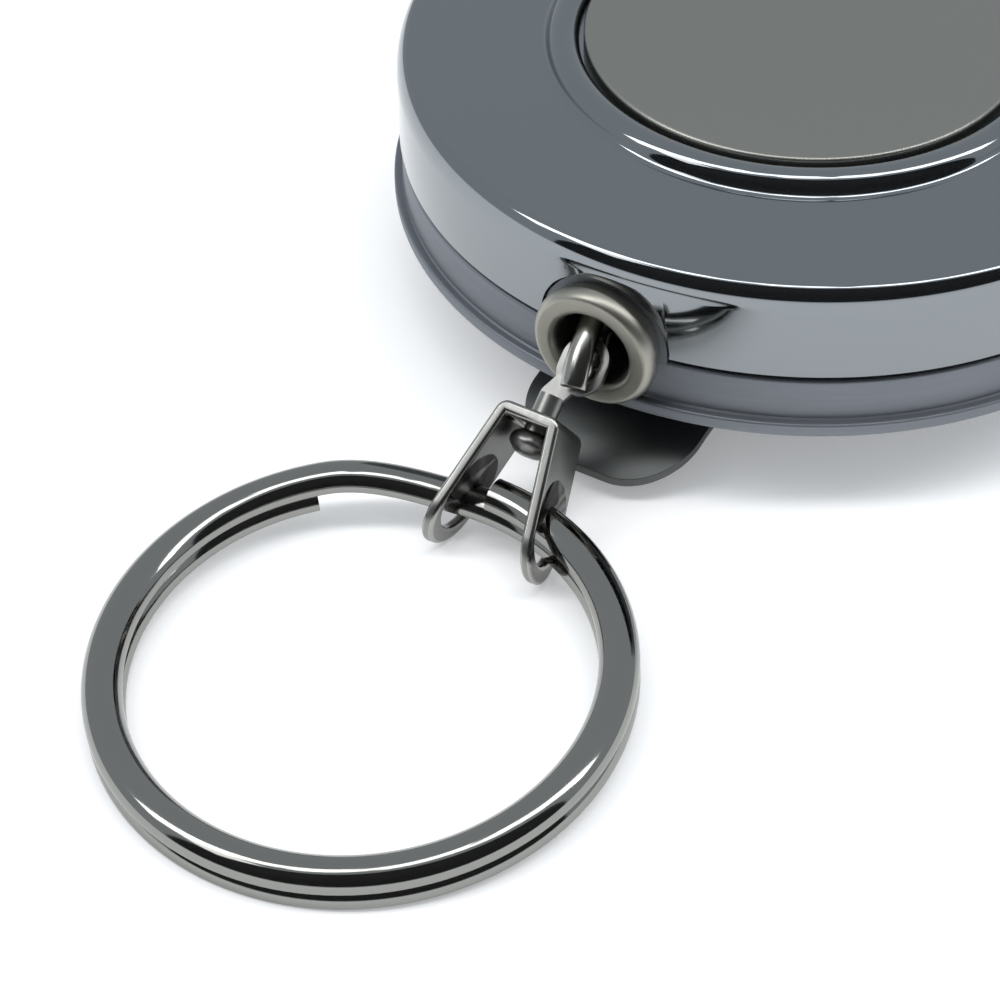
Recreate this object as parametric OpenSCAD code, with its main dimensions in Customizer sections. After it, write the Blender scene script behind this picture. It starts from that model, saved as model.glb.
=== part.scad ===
// Retractable badge reel: a spring drum in a round two-part metal case, with a folded belt clip
// behind it and a chain that leaves through an eyelet to a swivel, a stirrup and a split ring.
// The reel lies on its clip: z = 0 is the flat face of the clip's long leaf, the drum turns
// about the Z axis and the chain leaves along -Y.

/* [Case] */
// Radius of the front cover
case_r = 24.5; // [24:0.1:25]
// Height of the seam between the two covers above the clip's rest face
seam_z = 9.4; // [9.2:0.1:9.6]
// Height of the front cover from the seam to its rim
front_h = 6.0; // [5.8:0.1:6.4]
// Thickness of the sheet that the front cover is drawn from
sheet_t = 0.8; // [0.7:0.05:0.9]
// Height of the straight part of the front wall
wall_h = 4.4; // [4:0.1:4.6]
// Distance from the seam to the back of the case
rear_h = 4.07; // [4:0.01:4.1]
// Radius of the satin band below the seam
band_r = 24.4; // [24.2:0.05:24.45]
// Radius of the flange at the back of the case
flange_r = 24.95; // [24.8:0.05:25.1]

/* [Badge] */
// Radius of the badge disc
badge_r = 13.2; // [13:0.05:13.3]
// Thickness of the badge disc
badge_t = 1.0; // [0.9:0.1:1]
// Radius of the middle of the raised bead round the badge
bead_r = 14.45; // [14.4:0.05:14.5]
// Radius of the bead's own section
bead_section_r = 1.0; // [0.9:0.05:1]

/* [Eyelet] */
// Outer radius of the rolled lip
eyelet_r = 3.8; // [3.75:0.05:3.9]
// Radius of the hole that the chain runs through
eyelet_hole_r = 2.3; // [2.25:0.05:2.35]
// Height of the eyelet above the clip's rest face
eyelet_z = 9.55; // [9.5:0.05:9.6]
// Distance of the lip's front plane from the reel axis
eyelet_y = 25.85; // [25.8:0.05:25.9]

/* [Belt clip] */
// Width of the clip
clip_w = 11; // [10:0.5:12]
// Thickness of the spring steel
clip_t = 0.55; // [0.5:0.05:0.65]
// Distance from the reel axis to the middle of the fold
clip_fold_y = 19; // [18:0.5:19]
// Distance from the reel axis to the end of the lip
clip_lip_y = 26.6; // [26.2:0.1:27]
// Rise of the long leaf where it grips the belt
clip_rise = 2.55; // [2.3:0.05:2.7]

/* [Drum] */
// Radius of the drum's flanges
drum_flange_r = 21.4; // [21:0.1:21.5]
// Outer radius of the drum's hub, which the chain is wound on
hub_r = 14; // [13.8:0.1:14.1]
// Radius of the fixed post
arbor_r = 2.5; // [2.4:0.1:2.6]
// Turns of the power spring
spring_turns = 8; // [6:1:9]

/* [Swivel and stirrup] */
// Pitch of the swivel below the horizontal, in degrees
pitch = 37.5; // [37:0.5:38]
// Width of the stirrup over its web
web_w = 4; // [3.9:0.1:4.2]
// Width of the stirrup over the ends of its legs
leg_span = 7.4; // [7.3:0.1:7.6]
// Width of the stirrup's strip
strip_w = 4.4; // [4.3:0.05:4.5]
// Thickness of the stirrup's sheet
strip_t = 0.7; // [0.6:0.05:0.75]

/* [Split ring] */
// Radius of the ring at the middle of its wire
ring_r = 13.7; // [13.6:0.05:13.8]
// Width of the half-round wire
wire_w = 2.2; // [2.1:0.05:2.2]
// Height of one coil of the wire
wire_h = 1.15; // [1.1:0.01:1.16]
// Travel of the wire from one end to the other, in degrees
ring_sweep = 676; // [660:1:677]

/* [Hidden] */
$fn = 96;

// Case heights and radii
back_z = seam_z - rear_h;
floor_z = back_z + sheet_t;
rim_z = seam_z + front_h;
wall_in_r = case_r - sheet_t;
rim_run = 0.86;
seam_gap = 0.3;
band_h = 3.05;
flange_round = 0.3;
running_fit = 0.05;
slip_fit = 0.02;
cut_over = 1;
cut_through = 20;
spigot_t = 0.75;
spigot_r = wall_in_r - running_fit;
cavity_r = spigot_r - spigot_t;
spigot_top_z = seam_z + 1.8;
dish_drop = 0.35;
bead_z = rim_z - dish_drop;
badge_stand = 0.5;
badge_top_z = rim_z + badge_stand;
recess_z = badge_top_z - badge_t;
arc_steps = 10;

// Eyelet boss and the notch round it
boss_r = 3.95;
notch_r = 4.1;
eyelet_stand = 1.75;
boss_y = eyelet_y - eyelet_stand;
barrel_t = 0.4;
barrel_r = eyelet_hole_r + barrel_t;
washer_r = 3.6;
washer_t = 0.4;
crest_r = 3.3;
mouth_r = 2.75;
collar_r = 3.5;

// Belt clip heights
fold_r = back_z / 2;
base_z = back_z - clip_t;
base_end_y = 3;
rivet_y = [7.5, 14.5];
rivet_r = 1.2;
rivet_head_r = 2.1;
rivet_head_t = 0.5;
fold_gap_up = 3;
fold_gap_down = 9;
rise_start_y = 11;
rise_top_y = 20;
lip_drop = 1.6;
lip_round = 4.0;
leaf_steps = 24;

// Drum heights
drum_z = 7.0;
flange_t = 0.7;
channel_lo = drum_z + flange_t;
channel_h = 4.1;
channel_hi = channel_lo + channel_h;
hub_t = 1.0;
drum_top_z = channel_hi + flange_t;
cover_t = 0.5;
arbor_top_z = 14.0;
screw_r = 1.25;
screw_len = 4.4;
screw_head_r = 2.3;
groove_z = arbor_top_z - 0.7;
groove_h = 0.4;
groove_in_r = arbor_r - 0.4;
spring_t = 0.25;
spring_in_r = arbor_r + 0.35;
spring_out_r = hub_r - hub_t - 0.3;
spring_lo = channel_lo + 0.4;
spring_h = 3.8;
wound_r = 19;
pin_r = 0.6;
pin_angle = 150;
pin_stand = 1.0;
cup_floor_z = channel_lo + 0.1;
chain_x = -0.4;
chain_drop = 0.3;
chain_r = 1.0;
chain_run_len = 3.3;
chain_run_y = wound_r + 0.2;

// Swivel line: pitched down from the middle of the end link's outer bend
link_x = -0.3;
link_y = -25.63;
link_z = 8.7;
link_lean = 8;
link_len = 2.0;
link_mean_r = 1.0;
link_t = 0.7;
link_w = 1.5;
link_edge = 0.15;
link_tail = 1.9;
swivel_x = -1.3;
eye_s = [0.1, 0.7];
eye_hole_r = 0.92;
eye_r = 1.42;
eye_t = 0.4;
neck_r = 0.75;
neck_start = 2.6;
neck_bar_w = 1.4;
web_s = 3.9;
head_r = 1.35;
head_h = 1.7;
hole_s = 9.8;
hole_r = 1.85;
slot_s = 8.9;
leg_end_r = strip_w / 2;
bend_r = 0.7;
leg_end_s = 10.5;
wire_s = 9.1;
wire_drop = 0.25;

// Split ring
ring_x = -2.15;
ring_y = link_y - wire_s * cos(pitch) + wire_drop * sin(pitch);
ring_z = link_z - wire_s * sin(pitch) - wire_drop * cos(pitch);
ring_gap = 0.05;
coil_z = (wire_h + ring_gap) / 2;
ring_tilt = asin((ring_z - coil_z - wire_h / 2) / (2 * ring_r));
ring_step = 6;
ring_cross = [318, 352];
wire_edge = 0.15;

chrome = [0.80, 0.81, 0.83];
nickel = [0.72, 0.70, 0.65];
satin = [0.56, 0.58, 0.62];
steel = [0.62, 0.63, 0.64];
dark_steel = [0.30, 0.31, 0.32];
nylon = [0.15, 0.15, 0.16];
brass = [0.75, 0.62, 0.35];

function smooth(t) = t * t * (3 - 2 * t);
function clamp01(t) = max(0, min(1, t));

// Points of an arc from angle a to angle b, about [cx, cy]
function arc(cx, cy, rx, ry, a, b, n = arc_steps) =
    [for (i = [0:n]) let (t = a + (b - a) * i / n) [cx + rx * cos(t), cy + ry * sin(t)]];

// Moves children to the swivel line: their +X stays the part's +X and their -Y runs down the line
module on_swivel_line(x) {
    translate([x, link_y, link_z]) rotate([pitch, 0, 0]) children();
}

// A round-ended slot from the origin up along Y
module oval(r, length) {
    circle(r = r);
    translate([0, length]) circle(r = r);
    translate([-r, 0]) square([2 * r, length]);
}

// A washer between two heights
module washer(r_out, r_in, z, t) {
    translate([0, 0, z]) difference() {
        cylinder(r = r_out, h = t);
        translate([0, 0, -1]) cylinder(r = r_in, h = t + 2);
    }
}

// A solid turned about a line along Y, from a profile of [radius, distance inwards] points
module turned_on_exit(points) {
    translate([0, -eyelet_y, eyelet_z]) rotate([-90, 0, 0]) rotate_extrude() polygon(points);
}

// A round bar along Y through the case wall at the eyelet
module exit_bar(r, from_y, to_y) {
    translate([0, -from_y, eyelet_z]) rotate([-90, 0, 0]) cylinder(r = r, h = from_y - to_y);
}

module front_cover() {
    bead_out = bead_r + bead_section_r;
    bead_in = bead_r - bead_section_r;
    inner_rim_z = rim_z - sheet_t;
    outside = concat(
        [[case_r, seam_z]],
        arc(case_r - rim_run, seam_z + wall_h, rim_run, front_h - wall_h, 0, 90),
        arc(bead_r, bead_z, bead_section_r, bead_section_r, 0, 180),
        [[bead_in, recess_z], [0, recess_z]]);
    inside = [
        [0, recess_z - sheet_t],
        [bead_in + sheet_t, recess_z - sheet_t],
        [bead_out - sheet_t / 2, bead_z - sheet_t],
        [wall_in_r - rim_run, inner_rim_z],
        [wall_in_r, seam_z + wall_h - sheet_t / 2],
        [wall_in_r, seam_z]];
    color(chrome) difference() {
        rotate_extrude() polygon(concat(outside, inside));
        exit_bar(notch_r, case_r + 2, case_r - 3);
        translate([-notch_r, -case_r - 2, seam_z - 1]) cube([2 * notch_r, 5, eyelet_z - seam_z + 1]);
    }
}

module badge_disc() {
    edge = 0.15;
    color(nickel) rotate_extrude() polygon([
        [0, recess_z],
        [badge_r, recess_z],
        [badge_r, badge_top_z - edge],
        [badge_r - edge, badge_top_z],
        [0, badge_top_z]]);
}

module rear_cover() {
    shell = concat(
        [[0, back_z]],
        arc(flange_r - flange_round, back_z + flange_round, flange_round, flange_round, -90, 0, 4),
        [[flange_r, seam_z - band_h], [band_r, seam_z - band_h], [band_r, seam_z - seam_gap],
        [spigot_r, seam_z - seam_gap], [spigot_r, spigot_top_z], [cavity_r, spigot_top_z],
        [cavity_r, floor_z], [0, floor_z]]);
    color(satin) difference() {
        union() {
            rotate_extrude() polygon(shell);
            intersection() {
                exit_bar(boss_r, boss_y, cavity_r);
                translate([-boss_r, -case_r, floor_z]) cube([2 * boss_r, 3, 9]);
            }
        }
        exit_bar(barrel_r + slip_fit, case_r + cut_over, cavity_r - 2);
        exit_bar(eyelet_r + running_fit, case_r + cut_over, boss_y);
        exit_bar(washer_r + 2 * running_fit, cavity_r, cavity_r - 2);
        translate([0, 0, back_z - slip_fit / 2])
            cylinder(r1 = screw_head_r + slip_fit, r2 = screw_r + slip_fit, h = sheet_t + slip_fit);
        for (y = rivet_y)
            translate([0, y, back_z - cut_over])
                cylinder(r = rivet_r + slip_fit, h = sheet_t + 2 * cut_over);
    }
}

module eyelet() {
    roll_in = eyelet_y - cavity_r + washer_t + slip_fit;
    roll_h = 0.45;
    edge = 0.1;
    dome_h = 0.8;
    mouth_h = 0.6;
    front = arc(crest_r, dome_h, eyelet_r - crest_r, dome_h, 0, -90);
    mouth = arc(mouth_r, mouth_h, mouth_r - eyelet_hole_r, mouth_h, -90, -180);
    color(nickel) turned_on_exit(concat(
        [[barrel_r, eyelet_stand], [collar_r, eyelet_stand]],
        front,
        mouth,
        [[eyelet_hole_r, roll_in + roll_h], [washer_r - 3 * edge, roll_in + roll_h],
        [washer_r - edge, roll_in], [barrel_r, roll_in]]));
}

module eyelet_washer() {
    face = eyelet_y - cavity_r + slip_fit / 2;
    far_face = face + washer_t - slip_fit;
    color(steel) turned_on_exit([
        [barrel_r + slip_fit, face],
        [washer_r, face],
        [washer_r, far_face],
        [barrel_r + slip_fit, far_face]]);
}

// A strip of the clip's width from a section of [y, z] points
module clip_strip(points) {
    translate([-clip_w / 2, 0, 0])
        rotate([90, 0, 90])
            linear_extrude(height = clip_w)
                polygon(points);
}

// Part of the clip's round fold between two angles, from the +Y axis
function fold_arc(a, b) = concat(
    arc(clip_fold_y, fold_r, fold_r, fold_r, a, b),
    arc(clip_fold_y, fold_r, fold_r - clip_t, fold_r - clip_t, b, a));

module clip_base() {
    color(dark_steel) difference() {
        union() {
            translate([-clip_w / 2, base_end_y, base_z]) cube([clip_w, clip_fold_y - base_end_y, clip_t]);
            clip_strip(fold_arc(fold_gap_up, 90));
        }
        for (y = rivet_y)
            translate([0, y, base_z - cut_over])
                cylinder(r = rivet_r + slip_fit, h = clip_t + 2 * cut_over);
    }
}

// Height of the long leaf's lower face at a distance y from the reel axis
function leaf_z(y) = y < rise_top_y
    ? clip_rise * smooth(clamp01((y - rise_start_y) / (rise_top_y - rise_start_y)))
    : clip_rise - lip_drop * pow((y - rise_top_y) / (clip_lip_y - rise_top_y), 2);

module clip_tongue() {
    leaf_y = [for (i = [0:leaf_steps]) rise_start_y + (clip_lip_y - rise_start_y) * i / leaf_steps];
    leaf = concat(
        [for (y = leaf_y) [-y, leaf_z(y)]],
        [for (i = [leaf_steps:-1:0]) [-leaf_y[i], leaf_z(leaf_y[i]) + clip_t]]);
    square_len = clip_fold_y + fold_r + clip_lip_y - lip_round;
    color(dark_steel) intersection() {
        union() {
            clip_strip(leaf);
            translate([-clip_w / 2, -rise_start_y, 0]) cube([clip_w, rise_start_y + clip_fold_y, clip_t]);
            clip_strip(fold_arc(-90, -fold_gap_down));
        }
        translate([0, 0, -1]) linear_extrude(height = 9) union() {
            translate([-clip_w / 2, lip_round - clip_lip_y]) square([clip_w, square_len]);
            translate([lip_round - clip_w / 2, -clip_lip_y])
                square([clip_w - 2 * lip_round, 2 * lip_round]);
            for (side = [-1, 1])
                translate([side * (clip_w / 2 - lip_round), lip_round - clip_lip_y]) circle(r = lip_round);
        }
    }
}

module clip_rivets() {
    color(steel) for (y = rivet_y) translate([0, y, 0]) {
        translate([0, 0, base_z - rivet_head_t]) cylinder(r = rivet_head_r, h = rivet_head_t);
        translate([0, 0, base_z - rivet_head_t]) cylinder(r = rivet_r, h = clip_t + sheet_t + rivet_head_t);
        translate([0, 0, floor_z]) cylinder(r = rivet_head_r - 0.3, h = rivet_head_t - 0.1);
    }
}

module arbor() {
    slot_w = 0.5;
    slot_over = 0.1;
    color(steel) difference() {
        translate([0, 0, floor_z]) cylinder(r = arbor_r, h = arbor_top_z - floor_z);
        translate([0, 0, floor_z - cut_over]) cylinder(r = screw_r + slip_fit, h = screw_len + cut_over);
        washer(arbor_r + cut_over, groove_in_r, groove_z, groove_h);
        translate([0, -slot_w / 2, spring_lo]) cube([arbor_r + cut_over, slot_w, spring_h + slot_over]);
    }
}

module arbor_screw() {
    slot_w = 0.6;
    slot_depth = 0.4;
    color(steel) difference() {
        union() {
            translate([0, 0, back_z]) cylinder(r1 = screw_head_r, r2 = screw_r, h = sheet_t);
            translate([0, 0, back_z]) cylinder(r = screw_r, h = screw_len);
        }
        translate([-screw_head_r, -slot_w / 2, back_z - cut_over])
            cube([2 * screw_head_r, slot_w, slot_depth + cut_over]);
    }
}

module thrust_washer() {
    rim = 2.5;
    thickness = drum_z - floor_z - 3 * slip_fit;
    color(brass) washer(arbor_r + rim, arbor_r + running_fit, floor_z + slip_fit, thickness);
}

module spool_drum() {
    color(nylon) difference() {
        union() {
            translate([0, 0, drum_z]) cylinder(r = drum_flange_r, h = flange_t);
            translate([0, 0, drum_z]) cylinder(r = hub_r, h = drum_top_z - drum_z);
        }
        translate([0, 0, cup_floor_z]) cylinder(r = hub_r - hub_t, h = cut_through);
        translate([0, 0, drum_z - cut_over]) cylinder(r = arbor_r + running_fit, h = cut_through);
        at_anchor() translate([0, 0, -cut_over]) cylinder(r = pin_r + slip_fit, h = cut_through);
    }
}

// The place of the pin through both flanges that holds the chain's inner end
module at_anchor() {
    rotate([0, 0, pin_angle]) translate([hub_r + pin_stand, 0, drum_z]) children();
}

module spool_flange() {
    color(nylon) difference() {
        washer(drum_flange_r, hub_r + slip_fit, channel_hi, flange_t - slip_fit);
        at_anchor() cylinder(r = pin_r + slip_fit, h = cut_through);
    }
}

module spring_cover() {
    inset = 0.2;
    bore_r = arbor_r + 0.3;
    color(steel) washer(hub_r - inset, bore_r, drum_top_z + slip_fit, cover_t);
}

module power_spring() {
    turn_steps = 24;
    steps = spring_turns * turn_steps;
    step_angle = 360 / turn_steps;
    step_r = (spring_out_r - spring_in_r) / steps;
    function coil(i, r) = [r * cos(i * step_angle), r * sin(i * step_angle)];
    edge_in = [for (i = [0:steps]) coil(i, spring_in_r + i * step_r)];
    edge_out = [for (i = [steps:-1:0]) coil(i, spring_in_r + spring_t + i * step_r)];
    tab_in = arbor_r - 0.8;
    tab_len = spring_in_r + spring_t / 2 - tab_in;
    color(dark_steel) translate([0, 0, spring_lo]) {
        linear_extrude(height = spring_h) polygon(concat(edge_in, edge_out));
        translate([tab_in, -spring_t / 2, 0]) cube([tab_len, spring_t, spring_h]);
    }
}

module top_washer() {
    rim = 1.4;
    thickness = 0.12;
    low_z = drum_top_z + cover_t + 3 * slip_fit;
    color(brass) washer(arbor_r + rim, arbor_r + running_fit, low_z, thickness);
}

module retaining_ring() {
    rim = 0.9;
    gap_w = 1.8;
    color(steel) difference() {
        washer(arbor_r + rim, groove_in_r + running_fit, groove_z + slip_fit, groove_h - 2 * slip_fit);
        translate([0, -gap_w / 2, groove_z - cut_over]) cube([2 * arbor_r, gap_w, groove_h + 2 * cut_over]);
    }
}

module chain_anchor_pin() {
    color(steel) at_anchor() cylinder(r = pin_r, h = drum_top_z - drum_z - slip_fit);
}

module wound_chain() {
    clear = 0.15;
    color(nickel) difference() {
        washer(wound_r, hub_r + clear, channel_lo + clear, channel_hi - channel_lo - 2 * clear);
        at_anchor() cylinder(r = pin_r + clear, h = cut_through);
    }
}

module chain_run() {
    color(nickel) translate([chain_x, -chain_run_y - chain_run_len, eyelet_z - chain_drop])
        rotate([-90, 0, 0]) cylinder(r = chain_r, h = chain_run_len);
}

// Half-round section of the end link's wire, as [from the loop's middle, across] points
module link_section() {
    flat_r = link_mean_r - link_t / 2;
    polygon(concat(
        [[flat_r, link_w / 2], [flat_r, -link_w / 2]],
        arc(flat_r + link_edge, 0, link_t - link_edge, link_w / 2, -90, 90)));
}

// An open link: its front limb runs on past the outer bend to a square-cut tail
module end_link() {
    module limb(from, to) {
        translate([from, 0, 0]) rotate([90, 0, 90]) linear_extrude(height = to - from) link_section();
    }
    color(steel) on_swivel_line(link_x) rotate([0, 0, link_lean]) rotate([90, 0, 90]) {
        rotate([0, 0, 90]) rotate_extrude(angle = 180) link_section();
        translate([link_len, 0, 0]) rotate([0, 0, -90]) rotate_extrude(angle = 180) link_section();
        limb(-link_tail, link_len);
        rotate([180, 0, 0]) limb(0, link_len);
    }
}

// A flat eye on the link, jogged sideways to a round neck with a peened head
module swivel_eye() {
    jog = swivel_x - link_x;
    drop = neck_start - eye_s[1];
    head_fit = 0.08;
    head_s = web_s + strip_t + head_fit;
    head_edge = 0.4;
    head_round = 0.7;
    color(steel) on_swivel_line(link_x) {
        translate([0, -eye_s[1], -eye_t / 2]) linear_extrude(height = eye_t) difference() {
            union() {
                oval(eye_r, eye_s[1] - eye_s[0]);
                rotate(atan2(jog, drop))
                    translate([-neck_bar_w / 2, -norm([jog, drop])])
                        square([neck_bar_w, norm([jog, drop])]);
                translate([jog, -drop]) circle(r = neck_bar_w / 2);
            }
            oval(eye_hole_r, eye_s[1] - eye_s[0]);
        }
        translate([jog, 0, 0]) rotate([90, 0, 0]) {
            translate([0, 0, neck_start]) cylinder(r = neck_r, h = head_s + slip_fit - neck_start);
            translate([0, 0, head_s]) rotate_extrude() polygon(concat(
                [[0, 0], [head_r - head_edge / 2, 0]],
                arc(head_r - head_edge, head_h - head_round, head_edge, head_round, -20, 90, 6),
                [[0, head_h]]));
        }
    }
}

// A strip folded to a U, with splayed legs and an oval hole near each round end
module stirrup() {
    leg_len = leg_end_s - web_s;
    leg_tip = leg_len + leg_end_r;
    half_web = web_w / 2;
    half_span = leg_span / 2;
    splay = atan2(half_span - half_web, leg_tip);
    half_outline = concat(
        arc(half_web - bend_r, -bend_r, bend_r, bend_r, 90, splay, 5),
        [[half_span, -leg_tip], [half_span - strip_t, -leg_tip], [half_web - strip_t, -strip_t]]);
    other_half = [for (i = [len(half_outline) - 1:-1:0]) [-half_outline[i][0], half_outline[i][1]]];
    module across(width) {
        rotate([0, 90, 0]) linear_extrude(height = width, center = true) children();
    }
    color(steel) on_swivel_line(swivel_x) translate([0, -web_s, 0]) difference() {
        intersection() {
            linear_extrude(height = strip_w, center = true) polygon(concat(half_outline, other_half));
            across(2 * leg_span) union() {
                translate([-leg_end_r, -leg_len]) square([strip_w, leg_len + 1]);
                translate([0, -leg_len]) circle(r = leg_end_r);
            }
        }
        across(2 * leg_span) translate([0, web_s - hole_s]) oval(hole_r, hole_s - slot_s);
        translate([0, cut_over, 0]) rotate([90, 0, 0])
            cylinder(r = neck_r + running_fit, h = strip_t + 2 * cut_over);
    }
}

// Height of the wire's middle along its travel: the upper coil drops to the lower one
function coil_height(a) =
    coil_z * (1 - 2 * smooth(clamp01((a - ring_cross[0]) / (ring_cross[1] - ring_cross[0]))));

// Half-round section of the wire, its round side up, as [outwards, up] points
function wire_section() = let (x = wire_w / 2 - wire_edge, y = wire_edge - wire_h / 2) concat(
    arc(0, y, wire_w / 2, wire_h - wire_edge, 0, 180, 8),
    arc(-x, y, wire_edge, wire_edge, 225, 270, 1),
    arc(x, y, wire_edge, wire_edge, 270, 315, 1));

// Two coils of one half-round wire, from the end inside the stirrup, clockwise and down
module split_ring() {
    section = wire_section();
    n = len(section);
    rings = ceil(ring_sweep / ring_step);
    points = [for (i = [0:rings], p = section)
        let (a = ring_sweep * i / rings, r = ring_r + p[0])
        [r * cos(90 - a), r * sin(90 - a), coil_height(a) + p[1]]];
    sides = [for (i = [0:rings - 1], k = [0:n - 1])
        let (a = i * n + k, b = i * n + (k + 1) % n) each [[a, b, b + n], [a, b + n, a + n]]];
    start_cap = [for (k = [1:n - 2]) [0, k + 1, k]];
    end_cap = [for (k = [1:n - 2]) let (e = rings * n) [e, e + k, e + k + 1]];
    color(steel) translate([ring_x, ring_y, ring_z]) rotate([ring_tilt, 0, 0])
        translate([0, -ring_r, 0])
            polyhedron(points = points, faces = concat(sides, start_cap, end_cap));
}

front_cover();
badge_disc();
rear_cover();
eyelet();
eyelet_washer();
clip_base();
clip_tongue();
clip_rivets();
arbor();
arbor_screw();
thrust_washer();
spool_drum();
spool_flange();
spring_cover();
power_spring();
top_washer();
retaining_ring();
chain_anchor_pin();
wound_chain();
chain_run();
end_link();
swivel_eye();
stirrup();
split_ring();
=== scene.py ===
# %% [markdown]
# # A badge reel, dressed around its CAD frame
# The reel is a round metal case with a spring drum inside. A chain leaves it through an eyelet and
# ends in a swivel, a stirrup and a split ring. The CAD solids already have the right sizes and
# joints. What they lack is the look of metal: soft edges, smooth curves that mirror the room, and
# finishes from polished chrome to dull steel. Each visible piece is modelled again here, in the
# same place, and takes over from its CAD solid.

# %% Load the frame
import math

import bmesh
import bpy
from mathutils import Matrix, Vector, noise


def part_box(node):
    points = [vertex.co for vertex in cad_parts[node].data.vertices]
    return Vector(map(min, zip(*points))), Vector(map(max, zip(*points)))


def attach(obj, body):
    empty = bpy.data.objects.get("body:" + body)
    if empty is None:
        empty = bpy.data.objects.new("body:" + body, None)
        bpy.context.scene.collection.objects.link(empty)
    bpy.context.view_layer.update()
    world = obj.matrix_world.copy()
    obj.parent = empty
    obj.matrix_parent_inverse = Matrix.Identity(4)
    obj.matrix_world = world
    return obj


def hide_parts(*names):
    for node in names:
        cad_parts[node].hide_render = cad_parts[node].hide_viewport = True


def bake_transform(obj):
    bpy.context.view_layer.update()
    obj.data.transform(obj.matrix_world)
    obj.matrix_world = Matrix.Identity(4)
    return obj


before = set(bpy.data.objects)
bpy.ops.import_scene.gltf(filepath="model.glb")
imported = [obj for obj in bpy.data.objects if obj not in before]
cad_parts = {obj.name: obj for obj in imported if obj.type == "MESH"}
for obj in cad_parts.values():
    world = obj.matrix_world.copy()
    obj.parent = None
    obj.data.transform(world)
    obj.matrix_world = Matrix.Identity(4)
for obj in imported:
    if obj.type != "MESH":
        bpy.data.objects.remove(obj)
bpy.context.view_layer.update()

MM = 0.001

# %% [markdown]
# ## Helpers
# Sizes are written in millimetres, because that is how a maker reads them, and a mesh is scaled to
# metres when it becomes an object. Most pieces are turned or punched, so a few helpers are enough.
# They make an object, carve it with another shape or add one to it, round its edges, give it smooth
# shading and a finish, and lay it in its place.

# %% Helpers for sizes and outlines


def box_mm(node):
    """Lowest and highest corner of a CAD node, in millimetres."""
    low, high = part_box(node)
    return Vector(low) / MM, Vector(high) / MM


def arc(centre, radii, start, end, steps=12):
    """Points of an elliptic arc, from one angle to another in degrees."""
    turns = [math.radians(start + (end - start) * i / steps) for i in range(steps + 1)]
    return [(centre[0] + radii[0] * math.cos(a), centre[1] + radii[1] * math.sin(a)) for a in turns]


def smooth_step(t):
    """0 before 0, 1 after 1, and a soft S between them."""
    t = max(0.0, min(1.0, t))
    return t * t * (3 - 2 * t)


# %% Helpers for meshes


def as_object(name, bm):
    """Makes an object in metres from a bmesh in millimetres."""
    bmesh.ops.scale(bm, vec=(MM, MM, MM), verts=bm.verts)
    mesh = bpy.data.meshes.new(name)
    bm.to_mesh(mesh)
    bm.free()
    obj = bpy.data.objects.new(name, mesh)
    bpy.context.scene.collection.objects.link(obj)
    return obj


def settle_modifiers(obj):
    """Replaces the mesh by what its modifiers make of it."""
    evaluated = obj.evaluated_get(bpy.context.evaluated_depsgraph_get())
    mesh = bpy.data.meshes.new_from_object(evaluated)
    obj.modifiers.clear()
    obj.data = mesh


def carve(obj, operation, cutter_bm):
    """Cuts, joins or trims obj with another closed shape."""
    cutter = as_object("cutter", cutter_bm)
    carving = obj.modifiers.new("carve", "BOOLEAN")
    carving.operation = operation
    carving.solver = "EXACT"
    carving.object = cutter
    settle_modifiers(obj)
    bpy.data.objects.remove(cutter)


def add_shape(obj, extra_bm):
    """Adds a closed shape to obj's mesh as it is, where the two only need to look joined."""
    extra = as_object("extra", extra_bm)
    bm = bmesh.new()
    bm.from_mesh(obj.data)
    bm.from_mesh(extra.data)
    bm.to_mesh(obj.data)
    bm.free()
    bpy.data.objects.remove(extra)


def soften(obj, width, segments=3, angle=40):
    """Rounds the edges that are sharper than angle."""
    bevel = obj.modifiers.new("soft edges", "BEVEL")
    bevel.width = width * MM
    bevel.segments = segments
    bevel.limit_method = "ANGLE"
    bevel.angle_limit = math.radians(angle)
    settle_modifiers(obj)


def dress(obj, material, smooth_angle=32):
    """Shades obj smooth and gives it its finish."""
    mesh = obj.data
    mesh.polygons.foreach_set("use_smooth", [True] * len(mesh.polygons))
    mesh.set_sharp_from_angle(angle=math.radians(smooth_angle))
    mesh.materials.clear()
    mesh.materials.append(material)
    print(obj.name, "has", len(mesh.polygons), "faces")


def lay(obj, matrix):
    """Moves a finished object's mesh by a matrix in millimetres."""
    obj.data.transform(Matrix.Scale(MM, 4) @ matrix @ Matrix.Scale(1 / MM, 4))


# %% Helpers for shapes
WELD = 0.0002


def turned(points, steps=192):
    """A turned shape about Z from [radius, height] points, open where it ends on the axis."""
    bm = bmesh.new()
    loop = [bm.verts.new((r, 0, z)) for r, z in points]
    on_axis = points[0][0] == 0 and points[-1][0] == 0
    pairs = zip(loop, loop[1:] if on_axis else loop[1:] + loop[:1])
    edges = [bm.edges.new(pair) for pair in pairs]
    bmesh.ops.spin(bm, geom=loop + edges, cent=(0, 0, 0), axis=(0, 0, 1), angle=math.tau,
                   steps=steps, use_merge=True)
    bmesh.ops.remove_doubles(bm, verts=bm.verts, dist=WELD)
    bmesh.ops.recalc_face_normals(bm, faces=bm.faces)
    return bm


def prism(points, height):
    """A flat outline in XY, extruded to height/2 on both sides."""
    bm = bmesh.new()
    face = bm.faces.new([bm.verts.new((x, y, -height / 2)) for x, y in points])
    grown = bmesh.ops.extrude_face_region(bm, geom=[face])["geom"]
    moved = [v for v in grown if isinstance(v, bmesh.types.BMVert)]
    bmesh.ops.translate(bm, vec=(0, 0, height), verts=moved)
    bmesh.ops.recalc_face_normals(bm, faces=bm.faces)
    return bm


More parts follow.
